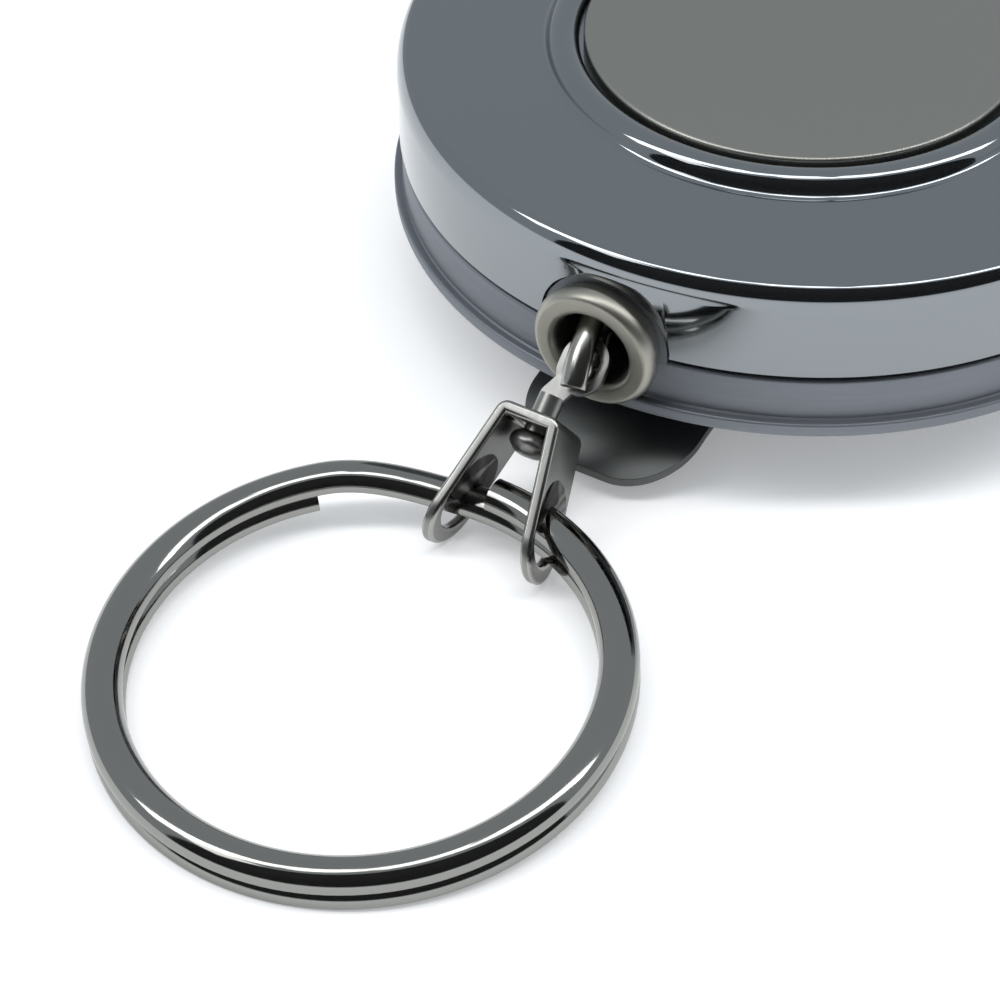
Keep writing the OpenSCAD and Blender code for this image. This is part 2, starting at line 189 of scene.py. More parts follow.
def rod(radius, height, segments=64, tip_radius=None):
    """A round bar on Z, from 0 to height."""
    bm = bmesh.new()
    bmesh.ops.create_cone(bm, cap_ends=True, segments=segments, radius1=radius,
                          radius2=radius if tip_radius is None else tip_radius, depth=height)
    bmesh.ops.translate(bm, vec=(0, 0, height / 2), verts=bm.verts)
    return bm


def block(low, high):
    """A box between two corners."""
    bm = bmesh.new()
    bmesh.ops.create_cube(bm, size=1.0)
    size = Vector(high) - Vector(low)
    bmesh.ops.scale(bm, vec=size, verts=bm.verts)
    bmesh.ops.translate(bm, vec=(Vector(low) + Vector(high)) / 2, verts=bm.verts)
    return bm


def placed(bm, matrix):
    """Moves a bmesh by a matrix and hands it back."""
    bmesh.ops.transform(bm, matrix=matrix, verts=bm.verts)
    return bm


# %% [markdown]
# ## Finishes
# Bare metal gets its look from what it mirrors, so a finish is mostly a reflectance and a
# roughness. Real plating is never quite even: it has fine rubbing marks and a little haze. Two
# shader node groups give these to every material that needs them. One makes hazy patches, the other
# makes fine lines along one direction.

# %% Group: haze


def add_socket(group, name, in_out, value=None):
    """A float socket on a node group."""
    socket = group.interface.new_socket(name, in_out=in_out, socket_type="NodeSocketFloat")
    if value is not None:
        socket.default_value = value


def link_range(nodes, links, source, low, high):
    """A Map Range node from 0..1 to the values of two sockets."""
    spread = nodes.new("ShaderNodeMapRange")
    links.new(source, spread.inputs["Value"])
    links.new(low, spread.inputs["To Min"])
    links.new(high, spread.inputs["To Max"])
    return spread.outputs["Result"]


def make_haze_group():
    """Soft patches of more and less roughness, as thin grease and dust leave on plating."""
    group = bpy.data.node_groups.new("haze", "ShaderNodeTree")
    group.interface.new_socket("Vector", in_out="INPUT", socket_type="NodeSocketVector")
    add_socket(group, "Scale", "INPUT", 300.0)
    add_socket(group, "Low", "INPUT", 0.05)
    add_socket(group, "High", "INPUT", 0.1)
    add_socket(group, "Roughness", "OUTPUT")
    nodes, links = group.nodes, group.links
    inputs = nodes.new("NodeGroupInput").outputs
    outputs = nodes.new("NodeGroupOutput").inputs
    cloud = nodes.new("ShaderNodeTexNoise")
    cloud.inputs["Detail"].default_value = 5.0
    links.new(inputs["Vector"], cloud.inputs["Vector"])
    links.new(inputs["Scale"], cloud.inputs["Scale"])
    rough = link_range(nodes, links, cloud.outputs["Fac"], inputs["Low"], inputs["High"])
    links.new(rough, outputs["Roughness"])
    return group


haze = make_haze_group()
print("group:", haze.name)

# %% Group: rubbed lines
LINE_STRETCH = (0.03, 0.03, 1.0)


def make_lines_group():
    """Fine lines that follow X and Y and change quickly along Z, before any mapping."""
    group = bpy.data.node_groups.new("rubbed_lines", "ShaderNodeTree")
    group.interface.new_socket("Vector", in_out="INPUT", socket_type="NodeSocketVector")
    add_socket(group, "Fineness", "INPUT", 6000.0)
    add_socket(group, "Low", "INPUT", 0.2)
    add_socket(group, "High", "INPUT", 0.4)
    add_socket(group, "Roughness", "OUTPUT")
    add_socket(group, "Height", "OUTPUT")
    nodes, links = group.nodes, group.links
    inputs = nodes.new("NodeGroupInput").outputs
    outputs = nodes.new("NodeGroupOutput").inputs
    stretch = nodes.new("ShaderNodeVectorMath")
    stretch.operation = "MULTIPLY"
    stretch.inputs[1].default_value = LINE_STRETCH
    links.new(inputs["Vector"], stretch.inputs[0])
    lines = nodes.new("ShaderNodeTexNoise")
    lines.inputs["Detail"].default_value = 3.0
    links.new(stretch.outputs["Vector"], lines.inputs["Vector"])
    links.new(inputs["Fineness"], lines.inputs["Scale"])
    rough = link_range(nodes, links, lines.outputs["Fac"], inputs["Low"], inputs["High"])
    links.new(rough, outputs["Roughness"])
    links.new(lines.outputs["Fac"], outputs["Height"])
    return group


rubbed_lines = make_lines_group()
print("group:", rubbed_lines.name)

# %% Helpers for finishes
LINE_DEPTH = 0.02


def bare_finish(name, colour, roughness, metallic=1.0):
    """A material with one Principled shader, and that shader."""
    material = bpy.data.materials.new(name)
    material.use_nodes = True
    shader = material.node_tree.nodes["Principled BSDF"]
    shader.inputs["Base Color"].default_value = (*colour, 1.0)
    shader.inputs["Metallic"].default_value = metallic
    shader.inputs["Roughness"].default_value = roughness
    return material, shader


def place_group(material, group, turn=(0, 0, 0), **values):
    """A node group in a material, read on Object coordinates."""
    nodes, links = material.node_tree.nodes, material.node_tree.links
    place = nodes.new("ShaderNodeTexCoord")
    mapping = nodes.new("ShaderNodeMapping")
    mapping.inputs["Rotation"].default_value = [math.radians(a) for a in turn]
    effect = nodes.new("ShaderNodeGroup")
    effect.node_tree = group
    links.new(place.outputs["Object"], mapping.inputs["Vector"])
    links.new(mapping.outputs["Vector"], effect.inputs["Vector"])
    for name, value in values.items():
        effect.inputs[name].default_value = value
    return effect


def hazy_metal(name, colour, low, high, scale=400.0):
    """Polished metal with thin haze."""
    material, shader = bare_finish(name, colour, high)
    effect = place_group(material, haze, Scale=scale, Low=low, High=high)
    material.node_tree.links.new(effect.outputs["Roughness"], shader.inputs["Roughness"])
    return material


def lined_metal(name, colour, low, high, fineness=6000.0, depth=0.1, turn=(0, 0, 0)):
    """Metal with fine rubbed lines."""
    material, shader = bare_finish(name, colour, high)
    effect = place_group(material, rubbed_lines, turn, Fineness=fineness, Low=low, High=high)
    nodes, links = material.node_tree.nodes, material.node_tree.links
    bump = nodes.new("ShaderNodeBump")
    bump.inputs["Strength"].default_value = depth
    bump.inputs["Distance"].default_value = LINE_DEPTH * MM
    links.new(effect.outputs["Roughness"], shader.inputs["Roughness"])
    links.new(effect.outputs["Height"], bump.inputs["Height"])
    links.new(bump.outputs["Normal"], shader.inputs["Normal"])
    return material


# %% Metal finishes
chrome = hazy_metal("polished_chrome", (0.245, 0.262, 0.275), 0.03, 0.09)
satin_nickel = hazy_metal("satin_nickel", (0.30, 0.30, 0.275), 0.30, 0.42, 1500.0)
brushed_back = lined_metal("brushed_back", (0.225, 0.24, 0.265), 0.50, 0.66, 5000.0, 0.25)
warm_nickel = hazy_metal("warm_nickel", (0.35, 0.34, 0.30), 0.34, 0.46, 900.0)
ring_nickel = hazy_metal("ring_nickel", (0.26, 0.26, 0.245), 0.05, 0.13, 700.0)
link_nickel = hazy_metal("link_nickel", (0.33, 0.325, 0.305), 0.14, 0.26, 900.0)
dull_steel = lined_metal("dull_steel", (0.25, 0.25, 0.24), 0.28, 0.45, 4000.0, 0.2, (0, 90, 0))
clip_steel = hazy_metal("clip_steel", (0.11, 0.115, 0.113), 0.42, 0.55, 500.0)
washer_brass = hazy_metal("washer_brass", (0.60, 0.46, 0.22), 0.25, 0.40, 800.0)
drum_nylon, _ = bare_finish("drum_nylon", (0.05, 0.05, 0.055), 0.5, 0.0)
print("materials:", len(bpy.data.materials))

# %% [markdown]
# ## The pieces that stay as CAD solids
# The drum, its spring, the washers and the fasteners are plain turned pieces inside the closed
# case or under the clip. Their CAD shape is right, so they only get a finish.

# %% Finishes of the kept solids
KEPT_FINISHES = {
    "eyelet_washer": dull_steel,
    "clip_rivets": dull_steel,
    "arbor": dull_steel,
    "arbor_screw": dull_steel,
    "thrust_washer": washer_brass,
    "spool_drum": drum_nylon,
    "spool_flange": drum_nylon,
    "spring_cover": dull_steel,
    "power_spring": clip_steel,
    "top_washer": washer_brass,
    "retaining_ring": clip_steel,
    "chain_anchor_pin": dull_steel,
    "wound_chain": link_nickel,
}

for node_name, finish in KEPT_FINISHES.items():
    node_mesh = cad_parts[node_name].data
    node_mesh.materials.clear()
    node_mesh.materials.append(finish)
print("kept solids:", len(KEPT_FINISHES))

# %% [markdown]
# ## Front cover
# The front is drawn from one sheet: a straight wall, a round rim, a flat ring that is dished by a
# third of a millimetre, and a raised bead round the place of the badge. A turned outline gives all
# of it. The small hollow where the bead meets the flat ring matters, because chrome shows every
# change of slope as a line.

# %% Front cover outline
shell_low, shell_high = box_mm("front_cover")
badge_low, badge_high = box_mm("badge_disc")
case_r = shell_high.x
seam_z = shell_low.z
SHEET = 0.8
RIM_Z = 15.4
RIM_RUN = 0.86
WALL_TOP = 13.8
BEAD_R = 14.45
BEAD_SECTION = 1.0
HOLLOW = 0.5
bead_z = shell_high.z - BEAD_SECTION

hollow_z = bead_z + HOLLOW
hollow_r = BEAD_R + math.sqrt((BEAD_SECTION + HOLLOW) ** 2 - HOLLOW ** 2)
touch = math.degrees(math.atan2(HOLLOW, hollow_r - BEAD_R))
EDGE = 0.15

front_outline = (
    arc((case_r - EDGE, seam_z + EDGE), (EDGE, EDGE), -90, 0, 4)
    + arc((case_r - RIM_RUN, WALL_TOP), (RIM_RUN, RIM_Z - WALL_TOP), 0, 90, 28)
    + arc((hollow_r, hollow_z), (HOLLOW, HOLLOW), 270, 180 + touch, 10)
    + arc((BEAD_R, bead_z), (BEAD_SECTION, BEAD_SECTION), touch, 180, 28)
    + [(BEAD_R - BEAD_SECTION, badge_low.z), (0, badge_low.z)])
inner_r = case_r - SHEET
front_inside = [
    (0, badge_low.z - SHEET),
    (BEAD_R - BEAD_SECTION / 2, badge_low.z - SHEET),
    (BEAD_R + BEAD_SECTION, bead_z - SHEET),
    (inner_r - RIM_RUN, RIM_Z - SHEET),
    (inner_r, WALL_TOP - SHEET / 2),
    (inner_r, seam_z)]
print("front outline:", len(front_outline), "points, hollow at r", round(hollow_r, 2))

# %% Front cover with its notch
eyelet_low, eyelet_high = box_mm("eyelet")
eyelet_z = (eyelet_low.z + eyelet_high.z) / 2
NOTCH_R = 4.1
CUT_OUT = 2.0
CUT_IN = 3.0
CUT_BELOW = 1.0
along_y = Matrix.Rotation(math.radians(-90), 4, "X")


def exit_bar(radius, front_y, back_y, segments=96):
    """A round bar along Y through the middle of the eyelet."""
    bar = rod(radius, back_y - front_y, segments)
    return placed(bar, Matrix.Translation((0, front_y, eyelet_z)) @ along_y)


front = as_object("front_shell", turned(front_outline + front_inside, 256))
carve(front, "DIFFERENCE", exit_bar(NOTCH_R, -case_r - CUT_OUT, -case_r + CUT_IN))
carve(front, "DIFFERENCE", block((-NOTCH_R, -case_r - CUT_OUT, seam_z - CUT_BELOW),
                                 (NOTCH_R, -case_r + CUT_IN, eyelet_z)))
dress(front, chrome, 30)
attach(front, "case")
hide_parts("front_cover")

# %% [markdown]
# ## Badge disc
# A plain stamped disc with a soft edge sits inside the bead. It is satin, so its finish does the
# work.

# %% Badge disc
badge_r = badge_high.x
BADGE_EDGE = 0.25
BADGE_SIT = 0.01
badge_outline = (
    [(0, badge_low.z + BADGE_SIT), (badge_r, badge_low.z + BADGE_SIT)]
    + arc((badge_r - BADGE_EDGE, badge_high.z - BADGE_EDGE), (BADGE_EDGE, BADGE_EDGE), 0, 90, 6)
    + [(0, badge_high.z)])
badge = as_object("badge_plate", turned(badge_outline, 192))
dress(badge, satin_nickel, 40)
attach(badge, "case")
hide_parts("badge_disc")

# %% [markdown]
# ## Rear cover
# The back is a second pressing: a brushed band under the seam, then a flange that stands a little
# proud. It carries a round boss for the eyelet, and a countersunk hole for the screw of the drum's
# post.

# %% Rear cover outline
back_low, back_high = box_mm("rear_cover")
flange_r = back_high.x
BAND_R = 24.4
BAND_H = 3.05
SEAM_GAP = 0.3
FLANGE_ROUND = 0.45
FLANGE_TOP_ROUND = 0.15
BAND_FOOT = 0.1
BAND_TOP_ROUND = 0.2
SPIGOT_R = 23.65
CAVITY_R = 22.9
BOSS_R = 3.95
BOSS_Y = -24.1
BARREL_R = 2.72
SPIGOT_DROP = 2.5
CUT_SLACK = 0.01
band_low_z = seam_z - BAND_H
floor_z = back_low.z + SHEET
spigot_z = back_high.z - SPIGOT_DROP
band_top_z = seam_z - SEAM_GAP

back_outline = (
    [(0, back_low.z)]
    + arc((flange_r - FLANGE_ROUND, back_low.z + FLANGE_ROUND),
          (FLANGE_ROUND, FLANGE_ROUND), -90, 0, 8)
    + arc((flange_r - FLANGE_TOP_ROUND, band_low_z - FLANGE_TOP_ROUND),
          (FLANGE_TOP_ROUND, FLANGE_TOP_ROUND), 0, 90, 6)
    + [(BAND_R + BAND_FOOT, band_low_z), (BAND_R, band_low_z + BAND_FOOT)]
    + arc((BAND_R - BAND_TOP_ROUND, band_top_z - BAND_TOP_ROUND),
          (BAND_TOP_ROUND, BAND_TOP_ROUND), 0, 90, 5)
    + [(SPIGOT_R, band_top_z), (SPIGOT_R, spigot_z), (CAVITY_R, spigot_z),
       (CAVITY_R, floor_z), (0, floor_z)])
print("back outline:", len(back_outline), "points")

# %% Rear cover with its boss and holes
SINK_R = 2.32
SINK_TIP_R = 1.27
back = as_object("back_shell", turned(back_outline, 256))
boss = exit_bar(BOSS_R, BOSS_Y, -CAVITY_R)
carve(back, "UNION", boss)
carve(back, "DIFFERENCE", exit_bar(BARREL_R, -case_r - CUT_OUT, -CAVITY_R + CUT_IN))
sink = rod(SINK_R, SHEET + 2 * CUT_SLACK, 64, SINK_TIP_R)
carve(back, "DIFFERENCE", placed(sink, Matrix.Translation((0, 0, back_low.z - CUT_SLACK))))
dress(back, brushed_back, 32)
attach(back, "case")
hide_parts("rear_cover")

# %% [markdown]
# ## Eyelet
# A rolled eyelet: a flat lip with a round edge in front, a barrel through the wall and a rolled end
# behind. It is turned like the covers, and then laid along the chain's way out.

# %% Eyelet
eyelet_r = eyelet_high.x
HOLE_R = 2.3
CREST_R = 3.3
COLLAR_R = 3.5
STAND = 1.75
LIP_DOME = 0.8
MOUTH_R = 2.75
MOUTH_H = 0.6
ROLL_Y = 3.37
ROLL_H = 0.45
WASHER_R = 3.6
BARREL_FIT = 0.02
ROLL_IN = 0.3
ROLL_OUT = 0.1
barrel_out = BARREL_R - BARREL_FIT

eyelet_outline = (
    [(barrel_out, STAND), (COLLAR_R, STAND)]
    + arc((CREST_R, LIP_DOME), (eyelet_r - CREST_R, LIP_DOME), 0, -90, 14)
    + arc((MOUTH_R, MOUTH_H), (MOUTH_R - HOLE_R, MOUTH_H), -90, -180, 10)
    + [(HOLE_R, ROLL_Y + ROLL_H), (WASHER_R - ROLL_IN, ROLL_Y + ROLL_H),
       (WASHER_R - ROLL_OUT, ROLL_Y), (barrel_out, ROLL_Y)])
eyelet_place = Matrix.Translation((0, eyelet_low.y, eyelet_z)) @ along_y
eyelet = as_object("eyelet_roll", placed(turned(eyelet_outline, 128), eyelet_place))
dress(eyelet, warm_nickel, 40)
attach(eyelet, "case")
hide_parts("eyelet")

# %% [markdown]
# ## Belt clip
# One strip of spring steel is folded back on itself: a short leaf is riveted to the case, and the
# long leaf ends in a lip that lets a belt slip in. The CAD has to cut it at the fold, where the
# spring's bending is put into one hinge. Here it is one strip again, and it bends across the joint.

# %% Belt clip from the side
tongue_low, tongue_high = box_mm("clip_tongue")
base_low, base_high = box_mm("clip_base")
clip_half_w = tongue_high.x
CLIP_T = 0.55
FOLD_Y = 19.0
RISE_START = 11.0
RISE_TOP = 20.0
RISE = 2.55
LIP_DROP = 1.6
LIP_ROUND = 4.0
LEAF_STEPS = 36
fold_r = base_high.z / 2
lip_y = -tongue_low.y


def leaf_height(y):
    """Height of the long leaf's lower face at a distance y in front of the axis."""
    if y < RISE_TOP:
        return RISE * smooth_step((y - RISE_START) / (RISE_TOP - RISE_START))
    return RISE - LIP_DROP * ((y - RISE_TOP) / (lip_y - RISE_TOP)) ** 2


leaf_ys = [RISE_START + (lip_y - RISE_START) * i / LEAF_STEPS for i in range(LEAF_STEPS + 1)]
clip_lower = (
    arc((FOLD_Y, fold_r), (fold_r, fold_r), 90, -90, 32)
    + [(-y, leaf_height(y)) for y in leaf_ys])
clip_upper = (
    [(-y, leaf_height(y) + CLIP_T) for y in reversed(leaf_ys)]
    + arc((FOLD_Y, fold_r), (fold_r - CLIP_T, fold_r - CLIP_T), -90, 90, 32))
clip_side = [(base_low.y, base_high.z)] + clip_lower + clip_upper + [(base_low.y, base_low.z)]
print("clip outline:", len(clip_side), "points")

# %% Belt clip
PLAN_SPARE = 5.0
PLAN_DEPTH = 40.0
CLIP_SOFT = 0.12
to_side = Matrix(((0, 0, 1, 0), (1, 0, 0, 0), (0, 1, 0, 0), (0, 0, 0, 1)))
clip = as_object("clip_strip", placed(prism(clip_side, 2 * clip_half_w), to_side))
lip_corner = clip_half_w - LIP_ROUND
clip_plan = (
    [(-clip_half_w, FOLD_Y + PLAN_SPARE)]
    + arc((-lip_corner, LIP_ROUND - lip_y), (LIP_ROUND, LIP_ROUND), 180, 270, 20)
    + arc((lip_corner, LIP_ROUND - lip_y), (LIP_ROUND, LIP_ROUND), 270, 360, 20)
    + [(clip_half_w, FOLD_Y + PLAN_SPARE)])
carve(clip, "INTERSECT", prism(clip_plan, PLAN_DEPTH))
soften(clip, CLIP_SOFT)
dress(clip, clip_steel, 30)
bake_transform(clip)
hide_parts("clip_base", "clip_tongue")

# %% [markdown]
# ## Swivel line
# The end link, the swivel and the stirrup hang on one line that slopes down from the eyelet. Each
# is modelled lying along -Y at the origin, and one matrix moves it to that line.

# %% Swivel line
LINE_START = Vector((0, -25.63, 8.7))
PITCH = 37.5
LINK_X = -0.3
SWIVEL_X = -1.3


def on_line(x):
    """The matrix that lays a piece on the swivel line, at x."""
    start = Matrix.Translation(LINE_START + Vector((x, 0, 0)))
    return start @ Matrix.Rotation(math.radians(PITCH), 4, "X")


print("line starts at", LINE_START, "mm and slopes", PITCH, "degrees")

# %% [markdown]
# ## End link
# The last link of the chain is a loop of half-round wire. Its front limb runs on past the bend and
# ends in a square cut. A bmesh section starts at that cut. It is drawn along the front limb, which
# is bowed a little, spun round the inner bend, drawn back along the rear limb and spun round the
# outer bend, until it meets the front limb from behind.

# %% Half-round wire
FLAT_INSET = 0.1
FLAT_EDGE = 0.15
DEGREES_A_STEP = 7


def half_round(width, thickness, steps=12):
    """Section of half-round wire as [across, outwards] points, flat side inwards."""
    low = -thickness / 2
    flat = [(-width / 2 + FLAT_INSET, low), (width / 2 - FLAT_INSET, low)]
    return flat + arc((0, low + FLAT_EDGE), (width / 2, thickness - FLAT_EDGE), 0, 180, steps)


def verts_and_edges(geom):
    """Leaves the faces out of what an operator hands back."""
    return [g for g in geom if not isinstance(g, bmesh.types.BMFace)]


def bent(bm, tip, centre, turn):
    """Spins the open end of a sweep round a line along X, and hands back its new end."""
    steps = max(4, round(turn / DEGREES_A_STEP))
    spun = bmesh.ops.spin(bm, geom=tip, cent=centre, axis=(-1, 0, 0), angle=math.radians(turn),
                          steps=steps)
    return verts_and_edges(spun["geom_last"])


def drawn(bm, tip, way):
    """Draws the open end of a sweep out along a straight line, and hands back its new end."""
    edges = [g for g in tip if isinstance(g, bmesh.types.BMEdge)]
    made = verts_and_edges(bmesh.ops.extrude_edge_only(bm, edges=edges)["geom"])
    verts = [g for g in made if isinstance(g, bmesh.types.BMVert)]
    bmesh.ops.translate(bm, vec=way, verts=verts)
    moved = set(verts)
    new_edges = [g for g in made if isinstance(g, bmesh.types.BMEdge)]
    return verts + [e for e in new_edges if moved.issuperset(e.verts)]


def capped(bm):
    """Closes the open ends of a sweep and turns its faces outwards."""
    bmesh.ops.holes_fill(bm, edges=[e for e in bm.edges if e.is_boundary])
    bmesh.ops.recalc_face_normals(bm, faces=bm.faces)
    return bm


# %% End link
LINK_LEN = 2.0
LINK_BEND = 1.0
LINK_T = 0.7
LINK_W = 1.5
LINK_TAIL = 1.9
LINK_LEAN = 8.0
LAST_BEND = 171.0
LIMB_STEPS = 10
LIMB_BOW = 0.25
LINK_SOFT = 0.05

link_bm = bmesh.new()
link_loop = [link_bm.verts.new((across, -LINK_TAIL, LINK_BEND + out))
             for across, out in half_round(LINK_W, LINK_T)]
link_pairs = zip(link_loop, link_loop[1:] + link_loop[:1])
tip = link_loop + [link_bm.edges.new(pair) for pair in link_pairs]
limb_len = LINK_TAIL + LINK_LEN
for _ in range(LIMB_STEPS):
    tip = drawn(link_bm, tip, (0, limb_len / LIMB_STEPS, 0))
for vert in link_bm.verts:
    along = (vert.co.y + LINK_TAIL) / limb_len
    vert.co.z += 4 * LIMB_BOW * along * (1 - along)
tip = bent(link_bm, tip, (0, LINK_LEN, 0), 180)
tip = drawn(link_bm, tip, (0, -LINK_LEN, 0))
bent(link_bm, tip, (0, 0, 0), LAST_BEND)
link_place = on_line(LINK_X) @ Matrix.Rotation(math.radians(LINK_LEAN), 4, "Z")
end_link = as_object("chain_end_link", placed(capped(link_bm), link_place))
soften(end_link, LINK_SOFT, 2, 50)
dress(end_link, link_nickel, 40)
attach(end_link, "chain_end")
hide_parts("end_link")

# %% [markdown]
# ## Swivel
# A flat punched eye hangs on the link. It steps sideways to a short neck, which goes through the
# stirrup's web and is hammered over to a lumpy head below it. The head starts as a sphere, and a
# little noise gives it its hammered look.

# %% Swivel
EYE_S = (0.1, 0.7)
EYE_R = 1.42
EYE_HOLE_R = 0.92
EYE_T = 0.4
NECK_S = 2.6
NECK_R = 0.75
BAR_W = 1.4
WEB_S = 3.9
STRIP_T = 0.7
HEAD_R = 1.35
HEAD_H = 1.7
HEAD_FIT = 0.08
NECK_IN_HEAD = 0.3
PLATE_SOFT = 0.1
jog = SWIVEL_X - LINK_X
neck_run = NECK_S - EYE_S[1]
head_s = WEB_S + STRIP_T + HEAD_FIT


def oval(radius, low, high, steps=28):
    """A round-ended slot along Y, between the middles of its two ends."""
    low_end = arc((0, low), (radius, radius), 180, 360, steps)
    return low_end + arc((0, high), (radius, radius), 0, 180, steps)


bar_turn = math.atan2(jog, neck_run)
bar_len = math.hypot(jog, neck_run)
swivel = as_object("swivel_plate", prism(oval(EYE_R, -EYE_S[1], -EYE_S[0]), EYE_T))
bar_bm = block((-BAR_W / 2, -bar_len, -EYE_T / 2), (BAR_W / 2, 0, EYE_T / 2))
bar_place = Matrix.Translation((0, -EYE_S[1], 0)) @ Matrix.Rotation(bar_turn, 4, "Z")
carve(swivel, "UNION", placed(bar_bm, bar_place))
bar_end = Matrix.Translation((jog, -NECK_S, -EYE_T / 2))
carve(swivel, "UNION", placed(rod(BAR_W / 2, EYE_T, 48), bar_end))
carve(swivel, "DIFFERENCE", prism(oval(EYE_HOLE_R, -EYE_S[1], -EYE_S[0]), 2 * EYE_T))
soften(swivel, PLATE_SOFT, 3, 50)
down_line = Matrix.Translation((jog, 0, 0)) @ Matrix.Rotation(math.radians(90), 4, "X")
neck_place = down_line @ Matrix.Translation((0, 0, NECK_S))
add_shape(swivel, placed(rod(NECK_R, head_s + NECK_IN_HEAD - NECK_S, 48), neck_place))
print("swivel plate:", len(swivel.data.polygons), "faces")

# %% Swivel head
LUMP_SCALE = 1.7
LUMP_SHIFT = Vector((3, 1, 2))
LUMP_SIZE = 0.05
HEAD_SHRINK = 0.96
head_bm = bmesh.new()
bmesh.ops.create_uvsphere(head_bm, u_segments=40, v_segments=24, radius=1.0)
bmesh.ops.scale(head_bm, vec=(HEAD_R, HEAD_R, HEAD_H / 2), verts=head_bm.verts)
for vert in head_bm.verts:
    lump = noise.noise(vert.co * LUMP_SCALE + LUMP_SHIFT)
    vert.co *= HEAD_SHRINK + LUMP_SIZE * lump
head_place = down_line @ Matrix.Translation((0, 0, head_s + HEAD_H / 2))
add_shape(swivel, placed(head_bm, head_place))
lay(swivel, on_line(LINK_X))
dress(swivel, dull_steel, 40)
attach(swivel, "swivel")
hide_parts("swivel_eye")

# %% [markdown]
# ## Stirrup
# A flat strip with round ends and a large oval hole near each end is folded to a U. The outline of
# the U is extruded to the strip's width, trimmed by the strip's own outline and pierced. The edges
# of such a pressing are tumbled round and bright while its faces stay dull, so the bevel gets a
# finish of its own.

# %% Stirrup
WEB_W = 4.0
LEG_SPAN = 7.4
STRIP_W = 4.4
BEND_R = 0.7
LEG_END_S = 10.5
HOLE_S = 9.8
SLOT_S = 8.9
OVAL_R = 1.85
LEG_SPARE = 0.2
TRIM_SPARE = 1.0
NECK_PLAY = 0.05
PIERCE = 3.0
PIERCE_FROM = 1.0
LEG_REACH = 3 * LEG_SPAN
EDGE_ROUND = 0.2
EDGE_ANGLE = 40
leg_len = LEG_END_S - WEB_S
leg_tip = leg_len + STRIP_W / 2
half_web = WEB_W / 2
half_span = LEG_SPAN / 2
splay = math.degrees(math.atan2(half_span - half_web, leg_tip))

half_u = (
    arc((half_web - BEND_R, -BEND_R), (BEND_R, BEND_R), 90, splay, 8)
    + [(half_span, -leg_tip - LEG_SPARE), (half_span - STRIP_T, -leg_tip - LEG_SPARE),
       (half_web - STRIP_T, -STRIP_T)])
whole_u = half_u + [(-x, y) for x, y in reversed(half_u)]
across_x = Matrix.Rotation(math.radians(90), 4, "Y")


def side_prism(points):
    """An outline of [height, along] points in the plane of a leg, extruded across both legs."""
    return placed(prism(points, LEG_REACH), across_x)


strip_outline = (
    arc((0, -leg_len), (STRIP_W / 2, STRIP_W / 2), 180, 360, 40)
    + [(STRIP_W / 2, TRIM_SPARE), (-STRIP_W / 2, TRIM_SPARE)])
stirrup = as_object("stirrup_strip", prism(whole_u, STRIP_W + TRIM_SPARE))
carve(stirrup, "INTERSECT", side_prism(strip_outline))
carve(stirrup, "DIFFERENCE", side_prism(oval(OVAL_R, WEB_S - HOLE_S, WEB_S - SLOT_S)))
neck_hole = placed(rod(NECK_R + NECK_PLAY, PIERCE, 48), Matrix.Rotation(math.radians(90), 4, "X"))
carve(stirrup, "DIFFERENCE", placed(neck_hole, Matrix.Translation((0, PIERCE_FROM, 0))))
print("stirrup cut:", len(stirrup.data.polygons), "faces")

# %% Stirrup edges
stirrup.data.materials.append(dull_steel)
stirrup.data.materials.append(link_nickel)
rounding = stirrup.modifiers.new("tumbled edges", "BEVEL")
rounding.width = EDGE_ROUND * MM
rounding.segments = 4
rounding.limit_method = "ANGLE"
rounding.angle_limit = math.radians(EDGE_ANGLE)
rounding.material = 1
settle_modifiers(stirrup)
lay(stirrup, on_line(SWIVEL_X) @ Matrix.Translation((0, -WEB_S, 0)))
stirrup.data.polygons.foreach_set("use_smooth", [True] * len(stirrup.data.polygons))
stirrup.data.set_sharp_from_angle(angle=math.radians(EDGE_ANGLE))
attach(stirrup, "bail")
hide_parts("stirrup")
print("stirrup:", len(stirrup.data.polygons), "faces, legs splay", round(splay, 1), "degrees")

# %% [markdown]
# ## Split ring
# One half-round wire runs almost twice round. It is spun as a tall, open helix first, so that each
# step of the turn has a height of its own. Then the helix is pressed flat: every vertex drops to
# the height that its step has on the real ring, where the upper coil slides down to the lower one.

# %% Split ring sizes
RING_R = 13.7
COIL_W = 2.2
COIL_H = 1.15
COIL_GAP = 0.05
COIL_EDGE = 0.15
SWEEP = 676.0
DROP_FROM = 318.0
DROP_TO = 352.0
RING_X = -2.15
WIRE_S = 9.1
WIRE_DROP = 0.25
RING_STEPS = 264
HELIX_RISE = 10.0

coil_z = (COIL_H + COIL_GAP) / 2
hinge = on_line(RING_X) @ Vector((0, -WIRE_S, -WIRE_DROP))
ring_tilt = math.asin((hinge.z - coil_z - COIL_H / 2) / (2 * RING_R))


def coil_height(travel):
    """Height of the wire after so many degrees from the end inside the stirrup."""
    return coil_z * (1 - 2 * smooth_step((travel - DROP_FROM) / (DROP_TO - DROP_FROM)))


print("ring leans", round(math.degrees(ring_tilt), 1), "degrees")

# %% Split ring
dome_z = COIL_EDGE - COIL_H / 2
corner = COIL_W / 2 - COIL_EDGE
wire = (
    arc((0, dome_z), (COIL_W / 2, COIL_H - COIL_EDGE), 0, 180, 20)
    + arc((-corner, dome_z), (COIL_EDGE, COIL_EDGE), 210, 270, 2)
    + arc((corner, dome_z), (COIL_EDGE, COIL_EDGE), 270, 330, 2))

